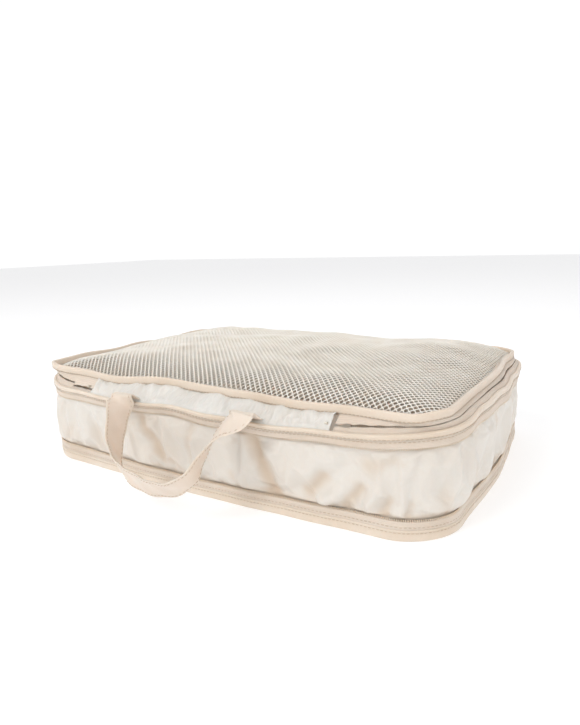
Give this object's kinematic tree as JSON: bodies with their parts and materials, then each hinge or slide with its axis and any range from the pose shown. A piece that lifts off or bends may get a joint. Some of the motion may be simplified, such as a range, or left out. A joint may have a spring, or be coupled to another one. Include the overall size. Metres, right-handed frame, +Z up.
{
  "type": "compression packing cube",
  "caption": "Soft rectangular packing cube with a zipped mesh lid, an expansion gusset closed by a second zip, and a strap handle.",
  "frame": {"origin": "centre of the base, on the surface it rests on", "axes": "+X along the handle side, the handle faces -Y, +Z up"},
  "size_m": [0.4226, 0.354, 0.1006],
  "materials": {
    "shell_fabric": "fine satin-faced nylon with a soft sheen",
    "binding": "folded grosgrain binding tape, soft satin",
    "tape": "close woven zip tape",
    "coil": "nylon coil, slightly glossy",
    "thread": "sewing thread",
    "strap": "doubled fabric strap, satin, edge stitched",
    "net": "diamond net of fine knitted yarn",
    "zip_metal": "pale satin nickel"
  },
  "bodies": {
    "base": {"bottom_panel": "shell_fabric", "bottom_binding": "binding", "bottom_binding_stitching": "thread", "bottom_inner_seam_tape": "tape", "compression_lower_tape": "tape", "compression_lower_tape_stitching": "thread", "compression_lower_coil": "coil", "compression_zip_stops": "zip_metal", "expansion_gusset": "shell_fabric"},
    "upper_frame": {"compression_upper_coil": "coil", "compression_upper_tape": "tape", "compression_upper_tape_stitching": "thread", "mid_binding": "binding", "mid_binding_stitching": "thread", "mid_inner_seam_tape": "tape", "main_lower_tape": "tape", "main_lower_coil": "coil", "main_zip_end_stops": "zip_metal", "hinge_strip": "shell_fabric", "handle_anchor_left": "strap", "handle_anchor_right": "strap", "handle_anchor_bartacks": "thread"},
    "lid": {"main_upper_tape": "tape", "main_upper_coil": "coil", "top_binding": "binding", "top_binding_stitching": "thread", "mesh_edge_tape": "tape", "mesh_panel": "net"},
    "handle": {"handle_strap": "strap", "handle_edge_stitching": "thread"},
    "left_slider": {"main_slider_left": "zip_metal"},
    "left_puller": {"main_puller_left": "zip_metal"},
    "right_slider": {"main_slider_right": "zip_metal"},
    "right_puller": {"main_puller_right": "zip_metal"},
    "lower_slider": {"compression_slider": "zip_metal"},
    "lower_puller": {"compression_puller": "zip_metal"}
  },
  "joints": [
    {"name": "compress", "type": "slide", "parent": "base", "child": "upper_frame", "axis": [0, 0, -1], "range_m": [0, 0.0485], "deforming": ["expansion_gusset"]},
    {"name": "lid_hinge", "type": "hinge", "parent": "upper_frame", "child": "lid", "pos_m": [0, -0.143, 0.083], "axis": [1, 0, 0], "range_deg": [0, 110]},
    {"name": "handle_swing", "type": "hinge", "parent": "upper_frame", "child": "handle", "pos_m": [0, -0.1602, 0.0806], "axis": [-1, 0, 0], "range_deg": [-28, 95]},
    {"name": "left_slider_travel", "type": "slide", "parent": "lid", "child": "left_slider", "axis": [-1, 0, 0], "range_m": [0, 0.13]},
    {"name": "left_puller_swing", "type": "hinge", "parent": "left_slider", "child": "left_puller", "pos_m": [-0.007, 0.132, 0.0825], "axis": [0, 1, 0], "range_deg": [0, 120]},
    {"name": "right_slider_travel", "type": "slide", "parent": "lid", "child": "right_slider", "axis": [1, 0, 0], "range_m": [0, 0.13]},
    {"name": "right_puller_swing", "type": "hinge", "parent": "right_slider", "child": "right_puller", "pos_m": [0.007, 0.132, 0.0825], "axis": [0, -1, 0], "range_deg": [0, 120]},
    {"name": "lower_slider_travel", "type": "slide", "parent": "base", "child": "lower_slider", "axis": [1, 0, 0], "range_m": [0, 0.24]},
    {"name": "lower_puller_swing", "type": "hinge", "parent": "lower_slider", "child": "lower_puller", "pos_m": [-0.12, 0.1438, 0.0159], "axis": [0, 0, -1], "range_deg": [0, 120]}
  ],
  "couplings": [
    {"joint": "lower_slider_travel", "follows": "compress", "ratio": 4.94}
  ]
}
